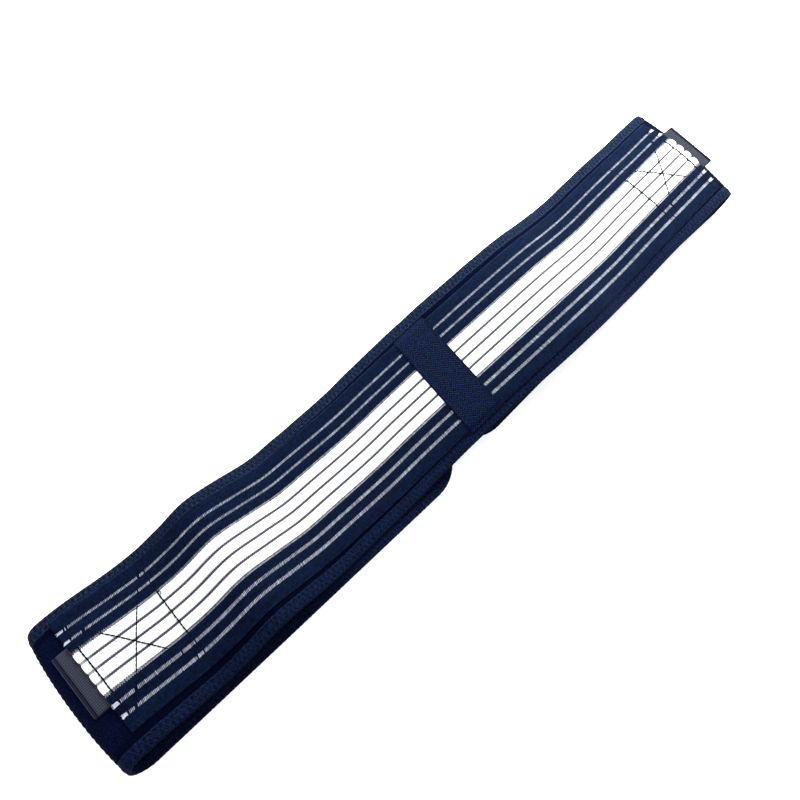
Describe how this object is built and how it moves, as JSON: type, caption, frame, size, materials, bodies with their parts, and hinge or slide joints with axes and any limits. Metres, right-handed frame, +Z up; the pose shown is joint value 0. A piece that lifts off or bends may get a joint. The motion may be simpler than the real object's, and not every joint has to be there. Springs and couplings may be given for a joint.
{
  "type": "pelvic support belt",
  "caption": "Wide padded hip belt with striped elastic side straps, a keeper tape at the middle and ribbed end tabs, lying with both ends folded under.",
  "frame": {"origin": "middle of the folded belt's box, on the surface that it lies on", "axes": "+X along the belt towards its far end in the picture, +Y across it, +Z up from the surface, out of the striped face"},
  "size_m": [0.5878, 0.1121, 0.0337],
  "materials": {
    "belt_fabric": "brushed loop pile, matt",
    "binding_tape": "knitted tape, matt, zigzag stitched",
    "striped_elastic": "ribbed woven elastic in dark, grey and white stripes",
    "keeper_tape": "herringbone twill, low sheen",
    "tab_webbing": "cross ribbed webbing, matt"
  },
  "bodies": {
    "root": {"main_belt": "belt_fabric", "edge_binding": "binding_tape", "elastic_strap_left": "striped_elastic", "elastic_strap_right": "striped_elastic", "center_keeper": "keeper_tape", "end_tab_left": "tab_webbing", "end_tab_right": "tab_webbing"}
  },
  "joints": []
}
